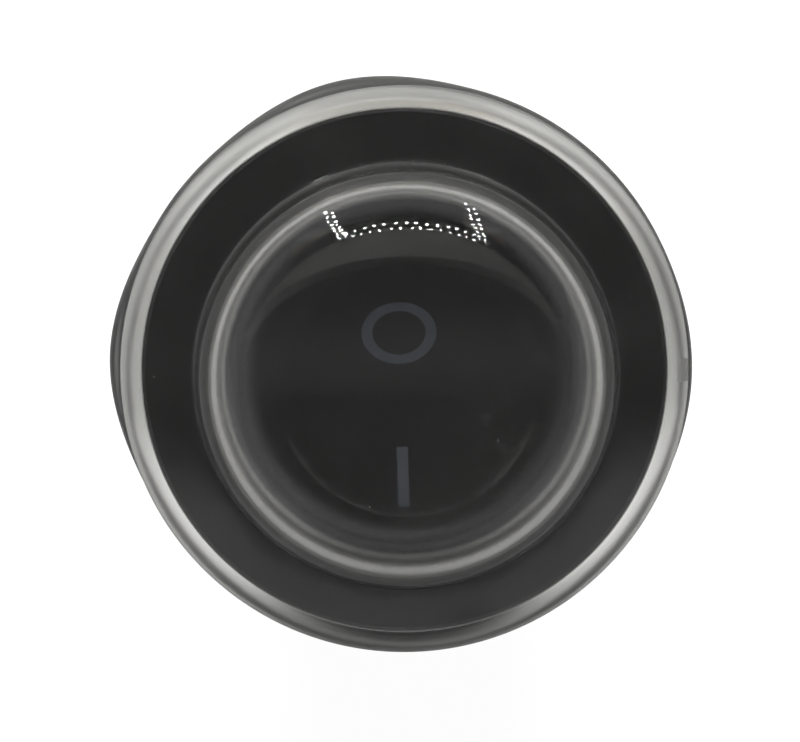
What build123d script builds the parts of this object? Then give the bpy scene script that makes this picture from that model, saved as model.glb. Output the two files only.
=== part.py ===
from build123d import *

import os
from math import radians, sin, tan

# A round snap-in rocker switch with two poles, under a clear waterproof boot.
# Lengths are in millimetres and angles in degrees.
# The origin is the centre of the panel cut-out, on the panel's front face.
# +Z points out of the panel and +Y to the O end of the rocker. The tabs point to -Z.

# Rocker
rocker_r = 7.55
rocker_side_h = 4.323
rocker_gap = 0.25
rocker_wall = 1.2
rocker_skirt_h = 1.2
rest_tilt = 13.0
face_valley_h = 3.95
face_r = 12.0
face_edge = 0.25
cheek_r = 2.6
trunnion_r = 1.3
trunnion_end_gap = 0.15
pivot_fit = 0.05
rib_t = 1.0
rib_h = 0.6
sleeve_wall = 0.65
sleeve_drop = 4.6
bore_top_h = 1.4

# Housing: bezel, neck, contact chamber and floor
pivot_depth = 4.4
neck_wall = 0.95
neck_gap = 0.2
neck_floor_t = 1.3
bezel_overlap = 1.4
bezel_t = 2.0
bezel_edge = 0.15
opening_gap = 0.5
opening_depth = 1.0
opening_edge = 0.2
body_wall = 1.2
body_corner = 3.0
floor_t = 1.5
floor_edge = 0.5
partition_t = 1.1
partition_drop = 4.6

# Snap wings
wing_w = 4.4
wing_t = 1.0
wing_catch = 0.75
wing_inset = 0.7
wing_flex_gap = 0.7
wing_side_gap = 0.5
wing_top_drop = 1.2
wing_pocket_drop = 0.7
wing_root_h = 1.9
wing_root_rise = 1.0
wing_embed = 0.3
wing_nose_run = 3.0
tooth_count = 3
tooth_step_z = 0.42
tooth_first_drop = 2.3

# Clear boot
boot_fit = 0.05
boot_lip_t = 0.9
boot_lip_gap = 0.3
boot_skirt_t = 0.9
boot_flange_t = 0.9
boot_wall = 0.9
rim_edge = 0.5
dome_gap = 0.95
dome_height = 6.2
dome_draft = 3.0
dome_shoulder_round = 4.0
lip_proud = 0.12
lobe_first_at = 102.0
lobe_second_at = 176.0
lobe_rise = 0.5
lobe_r = 7.0
lobe_blend = 6.0
lobe_t = 1.5
lobe_edge = 0.4

# Plungers and their springs
plunger_r = 1.45
plunger_fit = 0.05
plunger_reach = 7.2
plunger_len = 4.6
nose_tip_r = 0.4
nose_mid_r = 1.1
nose_mid_h = 0.5
nose_h = 1.45
spigot_r = 0.75
spigot_len = 0.9
spring_r = 1.15
spring_wire_r = 0.2
spring_turns = 3
spring_seat_gap = 0.02

# Contact blades and rivets
blade_gap = 0.08
blade_t = 0.5
blade_w = 4.2
blade_waist = 3.4
blade_notch_y = 1.4
blade_end_gap = 0.7
blade_end_round = 0.8
blade_swing = 16.0
blade_bend_r = 0.8
contact_inset = 1.6
contact_head_r = 1.3
contact_head_t = 0.45
contact_shank_r = 0.7
contact_gap = 0.05
rivet_fit = 0.02
stop_inset = 0.7
stop_post_t = 0.8
stop_gap = 0.05

# Terminals
tab_w = 4.8
tab_t = 0.8
tab_len = 7.6
tab_tip = 0.7
tab_hole_r = 0.7
tab_hole_from_tip = 2.9
tab_pitch = 6.0
slot_fit = 0.05
saddle_gap = 0.03
saddle_half = 1.8
ear_w = 0.8
ear_h = 1.0
pole_gap = 0.28
end_gap = 0.4
shelf_margin = 0.2

# Radii that follow from the rocker outwards
rocker_swing_r = (rocker_r**2 + rocker_side_h**2) ** 0.5
socket_r = rocker_swing_r + rocker_gap
socket_half = rocker_r + rocker_gap
neck_r = socket_r + neck_wall
panel_hole_r = neck_r + neck_gap
bezel_r = panel_hole_r + bezel_overlap
skirt_r = bezel_r + boot_fit + boot_skirt_t
dome_r = rocker_r + dome_gap + boot_wall
sleeve_r = plunger_r + plunger_fit + sleeve_wall
wing_inner_x = neck_r - wing_inset
wing_pocket_x = wing_inner_x - wing_flex_gap

# Heights, from the panel's face down to the ends of the tabs
bezel_back_z = boot_lip_t + boot_fit
bezel_front_z = bezel_back_z + bezel_t
pivot_z = bezel_front_z - pivot_depth
socket_floor_z = pivot_z - cheek_r - rocker_gap
neck_end_z = socket_floor_z - neck_floor_t
fulcrum_z = pivot_z - plunger_reach - blade_gap - blade_t
shelf_top_z = fulcrum_z - 2 * contact_head_t - contact_gap
floor_in_z = shelf_top_z - tab_t
floor_out_z = floor_in_z - floor_t
tab_end_z = floor_out_z - tab_len

# Places of the two poles, and the chamber round them
pole_half = saddle_half + ear_w + pole_gap
pole_x = partition_t / 2 + pole_half
poles = {"left": -pole_x, "right": pole_x}
chamber_x = 2 * (pole_x + pole_half)
chamber_y = 2 * (tab_pitch + tab_t / 2 + end_gap)
body_x = chamber_x + 2 * body_wall
body_y = chamber_y + 2 * body_wall
blade_reach = chamber_y / 2 - blade_end_gap
contact_y = tab_pitch - contact_inset
shelf_y = contact_y - contact_head_r - shelf_margin
stop_post_y = blade_reach - stop_inset

# Planes of the rocker as it stands, pressed at the I end
rocker_front = Plane((0, 0, pivot_z)).rotated((rest_tilt, 0, 0))
rocker_side = Plane((0, 0, pivot_z), x_dir=rocker_front.y_dir, z_dir=rocker_front.x_dir)
rocker_section = Plane((0, 0, pivot_z), x_dir=rocker_front.x_dir, z_dir=-rocker_front.y_dir)
rocker_axis = Axis((0, 0, pivot_z), rocker_front.z_dir)

os.makedirs("parts", exist_ok=True)

# Waterproof boot: one revolved section, with the pulling lobes added to its lip
flange_back_z = bezel_front_z + boot_fit
flange_front_z = flange_back_z + boot_flange_t
dome_top_z = bezel_front_z + dome_height
lip_hole_r = neck_r + boot_lip_gap
draft = tan(radians(dome_draft))
foot_in_r = dome_r - boot_wall + boot_flange_t * draft
shoulder_r = dome_r - (dome_top_z - flange_front_z) * draft
shoulder_in_r = foot_in_r - (dome_top_z - boot_wall - flange_back_z) * draft

# The dome's round shoulder is cut as three bands that lie on the round
shoulder_turn = radians(90 - dome_draft)
shoulder_cut = dome_shoulder_round * (tan(shoulder_turn / 2) - tan(shoulder_turn / 4))
shoulder_ease = dome_shoulder_round * (tan(shoulder_turn / 4) - tan(shoulder_turn / 8))

with BuildPart() as boot_lip:
    with BuildSketch(Plane.XY):
        Circle(skirt_r + lip_proud)
        for lobe_at in (lobe_first_at, lobe_second_at):
            with PolarLocations(skirt_r + lobe_rise - lobe_r, 2, start_angle=lobe_at):
                Circle(lobe_r)
        fillet(vertices(), lobe_blend)
    extrude(amount=lobe_t)
    chamfer(edges().group_by(Axis.Z)[-1], lobe_edge)
    with BuildSketch(Plane.XY):
        Circle(bezel_r + boot_fit + boot_skirt_t / 2)
    extrude(amount=lobe_t, mode=Mode.SUBTRACT)

with BuildPart() as waterproof_boot:
    with BuildSketch(Plane.XZ) as boot_section:
        with BuildLine():
            Polyline(
                (0, dome_top_z),
                (shoulder_r, dome_top_z),
                (dome_r, flange_front_z),
                (skirt_r, flange_front_z),
                (skirt_r, 0),
                (lip_hole_r, 0),
                (lip_hole_r, boot_lip_t),
                (bezel_r + boot_fit, boot_lip_t),
                (bezel_r + boot_fit, flange_back_z),
                (foot_in_r, flange_back_z),
                (shoulder_in_r, dome_top_z - boot_wall),
                (0, dome_top_z - boot_wall),
                close=True,
            )
        make_face()
        inner_corner = vertices().sort_by_distance((shoulder_in_r, dome_top_z - boot_wall, 0))[0]
        chamfer(inner_corner, (dome_shoulder_round - boot_wall) * (2 - 2**0.5))
        shoulder_corner = vertices().sort_by_distance((shoulder_r, dome_top_z, 0))[0]
        chamfer(shoulder_corner, shoulder_cut)
        top_corner = vertices().sort_by_distance((shoulder_r - shoulder_cut, dome_top_z, 0))[0]
        chamfer(top_corner, shoulder_ease)
        side_corner = vertices().sort_by_distance((shoulder_r, dome_top_z - shoulder_cut, 0))[0]
        chamfer(side_corner, shoulder_ease)
        rim_corner = vertices().sort_by_distance((skirt_r, flange_front_z, 0))[0]
        chamfer(rim_corner, rim_edge)
    revolve(axis=Axis.Z)
    add(boot_lip.part)

waterproof_boot.part.label = "waterproof_boot"
export_step(waterproof_boot.part, "parts/waterproof_boot.step")

# Room that the rocker's ball needs: a well with a sloped top, between the two trunnion walls
opening_r = rocker_r + opening_gap
opening_rise = (socket_r**2 - opening_r**2) ** 0.5
knee_rise = socket_r * (socket_r - opening_r) / opening_rise

with BuildPart() as socket:
    with BuildSketch(Plane.XZ):
        with BuildLine():
            Polyline(
                (0, socket_floor_z),
                (socket_r, socket_floor_z),
                (socket_r, pivot_z + knee_rise),
                (opening_r, pivot_z + opening_rise),
                (0, pivot_z + opening_rise),
                close=True,
            )
        make_face()
    revolve(axis=Axis.Z)
    with BuildSketch(Plane.XY.offset(socket_floor_z)):
        Rectangle(2 * socket_half, 2 * bezel_r)
    extrude(amount=2 * rocker_swing_r, mode=Mode.INTERSECT)

# Housing
hole_edge_x = (panel_hole_r**2 - (wing_w / 2) ** 2) ** 0.5
wing_tip_x = hole_edge_x + wing_catch
wing_top_z = -wing_top_drop
tooth_step_x = wing_catch / tooth_count
wing_root_top_z = floor_out_z + wing_root_rise + wing_root_h
nose_z = -tooth_first_drop - tooth_count * tooth_step_z

with BuildPart() as housing:
    with BuildSketch(Plane.XY.offset(bezel_back_z)):
        Circle(bezel_r)
    extrude(amount=bezel_t)
    chamfer(edges().group_by(Axis.Z)[-1], bezel_edge)
    with BuildSketch(Plane.XY.offset(neck_end_z)):
        Circle(neck_r)
    extrude(amount=bezel_back_z - neck_end_z)
    with BuildSketch(Plane.XY.offset(floor_out_z)):
        RectangleRounded(body_x, body_y, body_corner)
    extrude(amount=neck_end_z - floor_out_z)
    chamfer(edges().group_by(Axis.Z)[0], floor_edge)

    # The rocker's socket and the contact chamber under it
    add(socket.part, mode=Mode.SUBTRACT)
    with BuildSketch(Plane.XY.offset(bezel_front_z - opening_depth)):
        Circle(opening_r)
    extrude(amount=opening_depth, mode=Mode.SUBTRACT)
    front_edges = edges().filter_by(GeomType.CIRCLE).group_by(Axis.Z)[-1]
    chamfer(front_edges.sort_by(SortBy.RADIUS)[0], opening_edge)
    with BuildSketch(Plane.XY.offset(floor_in_z)):
        Rectangle(chamber_x, chamber_y)
    extrude(amount=pivot_z - floor_in_z, mode=Mode.SUBTRACT)
    with BuildSketch(Plane.XY.offset(floor_in_z)):
        Rectangle(partition_t, chamber_y)
    extrude(amount=pivot_z - partition_drop - floor_in_z)
    with BuildSketch(Plane.XY.offset(floor_in_z)):
        with Locations((-pole_x, -stop_post_y), (pole_x, -stop_post_y)):
            Rectangle(blade_waist, stop_post_t)
    extrude(amount=fulcrum_z - stop_gap - floor_in_z)

    # Holes for the rocker's trunnions, and pockets for the wings to flex into
    with BuildSketch(Plane.YZ):
        with Locations((0, pivot_z)):
            Circle(trunnion_r + pivot_fit)
    extrude(amount=wing_pocket_x, both=True, mode=Mode.SUBTRACT)
    with BuildSketch(Plane.XY.offset(neck_end_z)):
        with Locations((wing_pocket_x + neck_r / 2, 0), (-wing_pocket_x - neck_r / 2, 0)):
            Rectangle(neck_r, wing_w + 2 * wing_side_gap)
    extrude(amount=-wing_pocket_drop - neck_end_z, mode=Mode.SUBTRACT)

    # Snap wings, rooted near the floor, with steps that catch behind the panel
    with BuildSketch(Plane.XZ):
        with BuildLine():
            teeth = [(wing_tip_x, nose_z)]
            for step in range(tooth_count):
                step_z = nose_z + (step + 1) * tooth_step_z
                teeth.append((wing_tip_x - step * tooth_step_x, step_z))
                teeth.append((wing_tip_x - (step + 1) * tooth_step_x, step_z))
            Polyline(
                (body_x / 2 - wing_embed, floor_out_z + wing_root_rise),
                (body_x / 2 + wing_t / 2, floor_out_z + wing_root_rise),
                (wing_inner_x + wing_t, nose_z - wing_nose_run),
                *teeth,
                (hole_edge_x, wing_top_z - wing_t / 2),
                (wing_inner_x + wing_t / 2, wing_top_z),
                (wing_inner_x, wing_top_z),
                (wing_inner_x, nose_z - wing_nose_run),
                (body_x / 2, wing_root_top_z),
                (body_x / 2 - wing_embed, wing_root_top_z),
                close=True,
            )
        make_face()
        mirror(about=Plane.YZ)
    extrude(amount=wing_w / 2, both=True)

    # Slots in the floor for the tabs
    with BuildSketch(Plane.XY.offset(floor_out_z)):
        with Locations(*[(x, y) for x in poles.values() for y in (0, tab_pitch)]):
            Rectangle(tab_w + 2 * slot_fit, tab_t + 2 * slot_fit)
    extrude(amount=floor_t, mode=Mode.SUBTRACT)

housing.part.label = "housing"
export_step(housing.part, "parts/housing.step")

# Hollow inside the rocker, with a ceiling that follows the concave face
with BuildPart() as rocker_void:
    with BuildSketch(rocker_section):
        with BuildLine():
            swing_in = rocker_swing_r - rocker_wall
            side_in = rocker_r - rocker_wall
            knee_h = (swing_in**2 - side_in**2) ** 0.5
            Polyline((0, swing_in), (0, -rocker_r), (side_in, -rocker_r), (side_in, knee_h))
            RadiusArc((side_in, knee_h), (0, swing_in), -swing_in)
        make_face()
    revolve(axis=rocker_axis)
    with BuildSketch(rocker_side):
        with Locations((0, face_valley_h + face_r)):
            Circle(face_r + rocker_wall)
    extrude(amount=rocker_r, both=True, mode=Mode.SUBTRACT)

# Rocker
sleeve_top_h = face_valley_h - rocker_wall / 2
trunnion_end_x = wing_pocket_x - trunnion_end_gap

with BuildPart() as rocker:
    with BuildSketch(rocker_section):
        with BuildLine():
            Polyline(
                (0, rocker_swing_r),
                (0, rocker_skirt_h),
                (rocker_r, rocker_skirt_h),
                (rocker_r, rocker_side_h),
            )
            RadiusArc((rocker_r, rocker_side_h), (0, rocker_swing_r), -rocker_swing_r)
        make_face()
    revolve(axis=rocker_axis)
    with BuildSketch(rocker_side):
        with Locations((0, face_valley_h + face_r)):
            Circle(face_r)
    extrude(amount=rocker_swing_r, both=True, mode=Mode.SUBTRACT)
    concave_face = faces().filter_by(GeomType.CYLINDER).sort_by(SortBy.RADIUS)[-1]
    chamfer(concave_face.edges(), face_edge)
    add(rocker_void.part, mode=Mode.SUBTRACT)

    # Cheeks and trunnions at both sides
    for side in (1, -1):
        with BuildSketch(rocker_side.offset(side * (rocker_r - rocker_wall))):
            Circle(cheek_r)
            with Locations((0, rocker_skirt_h)):
                Rectangle(2 * cheek_r, 2 * rocker_skirt_h)
        extrude(amount=side * rocker_wall)
        with BuildSketch(rocker_side.offset(side * (rocker_r - rocker_wall / 2))):
            Circle(trunnion_r)
        extrude(amount=side * (trunnion_end_x - rocker_r + rocker_wall / 2))

    # Stiffening rib, plunger sleeves and their bores
    with BuildSketch(rocker_front.offset(rib_h)):
        Rectangle(2 * rocker_r - rocker_wall, rib_t)
    extrude(amount=sleeve_top_h - rib_h)
    with BuildSketch(rocker_front.offset(-sleeve_drop)):
        with Locations((-pole_x, 0), (pole_x, 0)):
            Circle(sleeve_r)
    extrude(amount=sleeve_drop + sleeve_top_h)
    with BuildSketch(rocker_front.offset(-sleeve_drop)):
        with Locations((-pole_x, 0), (pole_x, 0)):
            Circle(plunger_r + plunger_fit)
    extrude(amount=sleeve_drop + bore_top_h, mode=Mode.SUBTRACT)

rocker.part.label = "rocker"
export_step(rocker.part, "parts/rocker.step")

for side, x in poles.items():
    # Plunger: a blunt-nosed pin with a spigot that centres the spring
    shoulder_h = plunger_len - plunger_reach
    pin_origin = rocker_front.from_local_coords((x, 0, 0))
    pin_plane = Plane(pin_origin, x_dir=rocker_front.x_dir, z_dir=-rocker_front.y_dir)
    with BuildPart() as plunger:
        with BuildSketch(pin_plane):
            with BuildLine():
                Polyline(
                    (0, -plunger_reach),
                    (0, shoulder_h + spigot_len),
                    (spigot_r, shoulder_h + spigot_len),
                    (spigot_r, shoulder_h),
                    (plunger_r, shoulder_h),
                    (plunger_r, nose_h - plunger_reach),
                    (nose_mid_r, nose_mid_h - plunger_reach),
                    (nose_tip_r, -plunger_reach),
                    close=True,
                )
            make_face()
        revolve(axis=Axis(pin_origin, rocker_front.z_dir))
    plunger.part.label = f"plunger_{side}"
    export_step(plunger.part, f"parts/plunger_{side}.step")

    # Spring: a coil between the plunger's shoulder and the end of the bore
    coil_base_h = shoulder_h + spring_seat_gap + spring_wire_r
    coil_h = bore_top_h - spring_seat_gap - spring_wire_r - coil_base_h
    coil_origin = rocker_front.from_local_coords((x, 0, coil_base_h))
    with BuildPart() as plunger_spring:
        with BuildLine() as coil:
            Helix(coil_h / spring_turns, coil_h, spring_r, coil_origin, rocker_front.z_dir)
        with BuildSketch(Plane(coil.line @ 0, z_dir=coil.line % 0)):
            RegularPolygon(spring_wire_r, 4)
        sweep(path=coil.line, is_frenet=True)
    plunger_spring.part.label = f"plunger_spring_{side}"
    export_step(plunger_spring.part, f"parts/plunger_spring_{side}.step")

    # Contact blade: a strip bent to a shallow V, closed on the load side
    blade_plane = Plane((x, 0, fulcrum_z), x_dir=(0, 1, 0), z_dir=(1, 0, 0))
    with BuildPart() as contact_blade:
        with BuildSketch(blade_plane):
            with BuildLine():
                under = Line((blade_reach, 0), (0, 0))
                bend_out = JernArc(under @ 1, under % 1, blade_bend_r + blade_t, -blade_swing)
                tail = Line(bend_out @ 1, bend_out @ 1 + blade_reach * (bend_out % 1))
                top = Line((blade_reach, blade_t), (0, blade_t))
                bend_in = JernArc(top @ 1, top % 1, blade_bend_r, -blade_swing)
                back = Line(bend_in @ 1, bend_in @ 1 + blade_reach * (bend_in % 1))
                Line(under @ 0, top @ 0)
                Line(tail @ 1, back @ 1)
            make_face()
        extrude(amount=blade_w / 2, both=True)
        fillet(edges().filter_by(Axis.Z).group_by(Axis.Y)[-1], blade_end_round)
        with BuildSketch(Plane.XY.offset(fulcrum_z - blade_t)):
            notch_x = (blade_w + blade_waist) / 4
            notch_y = -(blade_bend_r + blade_t) * sin(radians(blade_swing / 2))
            with Locations((x - notch_x, notch_y), (x + notch_x, notch_y)):
                Rectangle((blade_w - blade_waist) / 2, blade_notch_y)
            with Locations((x, contact_y)):
                Circle(contact_shank_r + rivet_fit)
        extrude(amount=4 * blade_t, mode=Mode.SUBTRACT)
    contact_blade.part.label = f"contact_blade_{side}"
    export_step(contact_blade.part, f"parts/contact_blade_{side}.step")

    # Rivets that meet: one hangs under the blade, one stands on the shelf
    with BuildPart() as blade_contact:
        with BuildSketch(Plane.XY.offset(fulcrum_z - contact_head_t)):
            with Locations((x, contact_y)):
                Circle(contact_head_r)
        extrude(amount=contact_head_t)
        with BuildSketch(Plane.XY.offset(fulcrum_z)):
            with Locations((x, contact_y)):
                Circle(contact_shank_r)
        extrude(amount=blade_t)
    blade_contact.part.label = f"blade_contact_{side}"
    export_step(blade_contact.part, f"parts/blade_contact_{side}.step")

    with BuildPart() as load_contact:
        with BuildSketch(Plane.XY.offset(shelf_top_z)):
            with Locations((x, contact_y)):
                Circle(contact_head_r)
        extrude(amount=contact_head_t)
        with BuildSketch(Plane.XY.offset(shelf_top_z)):
            with Locations((x, contact_y)):
                Circle(contact_shank_r)
        extrude(amount=-tab_t)
    load_contact.part.label = f"load_contact_{side}"
    export_step(load_contact.part, f"parts/load_contact_{side}.step")

    # Common terminal: a flat tab whose inner end is the blade's saddle
    saddle_z = fulcrum_z - saddle_gap
    with BuildPart() as common_terminal:
        with BuildSketch(Plane.XZ):
            with Locations((x, tab_end_z)):
                tab = Rectangle(tab_w, floor_in_z - tab_end_z, align=(Align.CENTER, Align.MIN))
            chamfer(vertices().group_by(Axis.Y)[0], tab_tip)
            with Locations((x, floor_in_z)):
                Rectangle(
                    2 * (saddle_half + ear_w),
                    saddle_z + ear_h - floor_in_z,
                    align=(Align.CENTER, Align.MIN),
                )
            with Locations((x, saddle_z)):
                Rectangle(2 * saddle_half, ear_h, align=(Align.CENTER, Align.MIN), mode=Mode.SUBTRACT)
            with Locations((x, tab_end_z + tab_hole_from_tip)):
                Circle(tab_hole_r, mode=Mode.SUBTRACT)
        extrude(amount=tab_t / 2, both=True)
    common_terminal.part.label = f"common_terminal_{side}"
    export_step(common_terminal.part, f"parts/common_terminal_{side}.step")

    # Load terminal: a bent strip, its shelf on the floor and its tab through it
    with BuildPart() as load_terminal:
        with BuildSketch(Plane.XZ.offset(-tab_pitch)):
            with Locations((x, tab_end_z)):
                Rectangle(tab_w, shelf_top_z - tab_end_z, align=(Align.CENTER, Align.MIN))
            chamfer(vertices().group_by(Axis.Y)[0], tab_tip)
            with Locations((x, tab_end_z + tab_hole_from_tip)):
                Circle(tab_hole_r, mode=Mode.SUBTRACT)
        extrude(amount=tab_t / 2, both=True)
        with BuildSketch(Plane.XY.offset(floor_in_z)):
            with Locations((x, tab_pitch)):
                Rectangle(tab_w, tab_pitch - shelf_y, align=(Align.CENTER, Align.MAX))
        extrude(amount=tab_t)
        bend_edge = edges().filter_by(Axis.X).group_by(Axis.Z)[-1].sort_by(Axis.Y)[-1]
        fillet(bend_edge, tab_t * 0.75)
        with BuildSketch(Plane.XY.offset(floor_in_z)):
            with Locations((x, contact_y)):
                Circle(contact_shank_r + rivet_fit)
        extrude(amount=tab_t, mode=Mode.SUBTRACT)
    load_terminal.part.label = f"load_terminal_{side}"
    export_step(load_terminal.part, f"parts/load_terminal_{side}.step")
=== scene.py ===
from math import acos, cos, pi, radians, sin, sqrt, tan
from random import Random

import bmesh
import bpy
from mathutils import Matrix, Vector


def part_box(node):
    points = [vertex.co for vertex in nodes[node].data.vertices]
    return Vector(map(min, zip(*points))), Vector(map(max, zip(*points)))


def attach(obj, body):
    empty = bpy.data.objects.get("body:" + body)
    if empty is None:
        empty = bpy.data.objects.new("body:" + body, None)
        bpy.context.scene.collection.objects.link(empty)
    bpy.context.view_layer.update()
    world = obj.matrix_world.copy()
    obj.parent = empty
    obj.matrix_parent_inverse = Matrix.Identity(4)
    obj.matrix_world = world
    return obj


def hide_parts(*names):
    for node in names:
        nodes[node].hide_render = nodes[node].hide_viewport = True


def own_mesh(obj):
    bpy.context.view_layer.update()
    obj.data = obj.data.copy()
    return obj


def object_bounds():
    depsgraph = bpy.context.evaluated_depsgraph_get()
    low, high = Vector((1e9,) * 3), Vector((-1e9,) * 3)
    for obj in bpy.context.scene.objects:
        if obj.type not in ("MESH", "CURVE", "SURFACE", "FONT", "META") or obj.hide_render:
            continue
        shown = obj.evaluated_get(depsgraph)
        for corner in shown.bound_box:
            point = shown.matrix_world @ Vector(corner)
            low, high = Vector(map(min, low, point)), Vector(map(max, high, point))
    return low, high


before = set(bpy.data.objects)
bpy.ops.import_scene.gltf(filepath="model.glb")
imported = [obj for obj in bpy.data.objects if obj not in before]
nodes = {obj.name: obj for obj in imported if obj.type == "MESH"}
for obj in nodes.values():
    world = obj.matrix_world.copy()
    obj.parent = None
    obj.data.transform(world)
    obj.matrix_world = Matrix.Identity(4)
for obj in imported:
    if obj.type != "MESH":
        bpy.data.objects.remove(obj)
cad_low, cad_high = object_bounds()
scene = bpy.context.scene

# Sizes in metres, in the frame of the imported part: +Z out of the panel, +Y to the O end
MM = 0.001

# Clear boot: dome, flange, skirt and lip
BOOT_TOP = 9.15 * MM
BOOT_CROWN = 0.14 * MM
BOOT_WALL = 0.9 * MM
DOME_TOP_RADII = [r * MM for r in (0.0, 0.4, 1.0, 2.0, 3.0, 4.0, 4.8)]
DOME_SHOULDER = 3.7 * MM
DOME_DRAFT = tan(radians(2.6))
DOME_FOOT_R = 9.31 * MM
FOOT_ROUND = 0.12 * MM
FOOT_IN_ROUND = 0.25 * MM
FOOT_FLAT = 0.6 * MM
FLANGE_TOP = 3.9 * MM
FLANGE_BACK = 3.0 * MM
RIM_ROUND = 0.75 * MM
RIM_FLAT = 0.25 * MM
SKIRT_R = 12.45 * MM
SKIRT_IN_R = 11.55 * MM
SKIRT_TOP_ROUND = 0.06 * MM
SKIRT_FOOT_ROUND = 0.08 * MM
LIP_T = 0.9 * MM
LIP_HOLE_R = 10.2 * MM
LIP_ROUND = 0.12 * MM
BEAD_RISE = 0.17 * MM
BEAD_H = 1.6 * MM
BEAD_STEPS = 16
ROUND_STEPS = 14
ROUND_SUPPORT = 0.05 * MM
TURN_STEPS = 288
SEAM_REACH = 0.001 * MM

# The dome sits off centre, and the shift runs out across the flange
DOME_SHIFT = (0.05 * MM, -0.13 * MM, 0.0)
SHIFT_FULL_R = DOME_FOOT_R + 0.3 * MM
SHIFT_NONE_R = SKIRT_IN_R - 0.6 * MM
SHIFT_LOW = 0.5 * (FLANGE_BACK + LIP_T)

# Two opposite pairs of lobes on the lip's bead, lower on the far side
LOBE_HALF = radians(29.0)
LOBE_FIRST = radians(102.0)
LOBE_FIRST_RISE = 0.31 * MM
LOBE_SECOND = radians(176.0)
LOBE_SECOND_RISE = 0.4 * MM
LOBE_FAR_SHARE = 0.4

# Moulding stub on the rim, and a rubbed patch on the dome
GATE_R = 11.85 * MM
GATE_Y = -0.33 * MM
GATE_HALF = 0.54 * MM
GATE_FLAT_HALF = 0.85 * GATE_HALF
GATE_LOW = 2.3 * MM
GATE_FADE = 0.08 * MM
SCUFF_AT = (3.6 * MM, -2.2 * MM, BOOT_TOP)
SCUFF_REACH = 1.6 * MM

# Added roughness of the vinyl on its clear top, its inner walls, its foot and its rubbed rim
TOP_HAZE = 0.03
WALL_HAZE = 0.13
FOOT_HAZE = 0.08
RIM_HAZE = 0.3

# Rocker, plunger springs and printed marks, measured with the rocker level
SIDES = ("left", "right")
ROCKER_TILT = radians(13.0)
PIVOT_Z = -1.45 * MM
FACE_VALLEY = 3.95 * MM
FACE_R = 12.0 * MM
COIL_FOOT = -2.58 * MM
COIL_HEAD = 1.38 * MM
COIL_R = 1.15 * MM
COIL_WIRE_R = 0.2 * MM
COIL_TURNS = 6.5
COIL_STEPS = 40
WIRE_STEPS = 14
MARK_T = 0.025 * MM
MARK_SINK = 0.012 * MM
MARK_X = -0.2 * MM
O_MARK_Y = 2.75 * MM
O_MARK_R = 1.4 * MM
O_MARK_SQUAT = 0.93
O_MARK_STROKE = 0.48 * MM
O_MARK_STEPS = 72
I_MARK_Y = -3.8 * MM
I_MARK_W = 0.5 * MM
I_MARK_L = 2.5 * MM
I_MARK_STEPS = 10


# Node helpers
def add_node(tree, kind, **settings):
    made = tree.nodes.new(kind)
    for name, value in settings.items():
        setattr(made, name, value)
    return made


def join(tree, start, end):
    tree.links.new(start, end)


def feed(tree, socket, value):
    if isinstance(value, bpy.types.NodeSocket):
        join(tree, value, socket)
    else:
        socket.default_value = value


def set_inputs(made, **values):
    for name, value in values.items():
        made.inputs[name.replace("_", " ")].default_value = value


def calc(tree, operation, *values):
    made = add_node(tree, "ShaderNodeMath", operation=operation)
    for place, value in enumerate(values):
        feed(tree, made.inputs[place], value)
    return made.outputs[0]


def spread(tree, value, span, to=(0.0, 1.0), smooth=False):
    made = add_node(tree, "ShaderNodeMapRange")
    made.interpolation_type = "SMOOTHSTEP" if smooth else "LINEAR"
    for place, given in enumerate((value, *span, *to)):
        feed(tree, made.inputs[place], given)
    return made.outputs[0]


def distance(tree, start, end):
    made = add_node(tree, "ShaderNodeVectorMath", operation="DISTANCE")
    feed(tree, made.inputs[0], start)
    feed(tree, made.inputs[1], end)
    return made.outputs["Value"]


def split(tree, vector):
    made = add_node(tree, "ShaderNodeSeparateXYZ")
    join(tree, vector, made.inputs[0])
    return made.outputs["X"], made.outputs["Y"], made.outputs["Z"]


# Places of the colour sockets on a Mix node
MIX_SHARE, MIX_FIRST, MIX_SECOND, MIX_RESULT = 0, 6, 7, 2


def blend_colours(tree, share, first, second):
    made = add_node(tree, "ShaderNodeMix", data_type="RGBA")
    join(tree, share, made.inputs[MIX_SHARE])
    for place, colour in ((MIX_FIRST, first), (MIX_SECOND, second)):
        feed(tree, made.inputs[place], (*colour, 1.0) if isinstance(colour, tuple) else colour)
    return made.outputs[MIX_RESULT]


def noise(tree, place, scale, detail, roughness):
    made = add_node(tree, "ShaderNodeTexNoise")
    join(tree, place, made.inputs["Vector"])
    feed(tree, made.inputs["Scale"], scale)
    set_inputs(made, Detail=detail, Roughness=roughness)
    return made.outputs[0]


# Surface effects that several finishes share
def effect_group(name, inputs, outputs):
    tree = bpy.data.node_groups.new(name, "ShaderNodeTree")
    for label, value in inputs.items():
        kind = "NodeSocketFloat" if isinstance(value, float) else "NodeSocketVector"
        made = tree.interface.new_socket(label, in_out="INPUT", socket_type=kind)
        made.default_value = value
    for label in outputs:
        tree.interface.new_socket(label, in_out="OUTPUT", socket_type="NodeSocketFloat")
    given = add_node(tree, "NodeGroupInput")
    result = add_node(tree, "NodeGroupOutput")
    return tree, given.outputs, result.inputs


def make_moulded_grain():
    tree, given, result = effect_group(
        "moulded_grain",
        {"Vector": (0.0, 0.0, 0.0), "Grain Scale": 9000.0, "Cloud Scale": 300.0},
        ("Shade", "Height"),
    )
    fine = noise(tree, given["Vector"], given["Grain Scale"], detail=3.0, roughness=0.6)
    cloud = noise(tree, given["Vector"], given["Cloud Scale"], detail=4.0, roughness=0.55)
    join(tree, spread(tree, cloud, (0.3, 0.7)), result["Shade"])
    join(tree, fine, result["Height"])
    return tree


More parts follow.
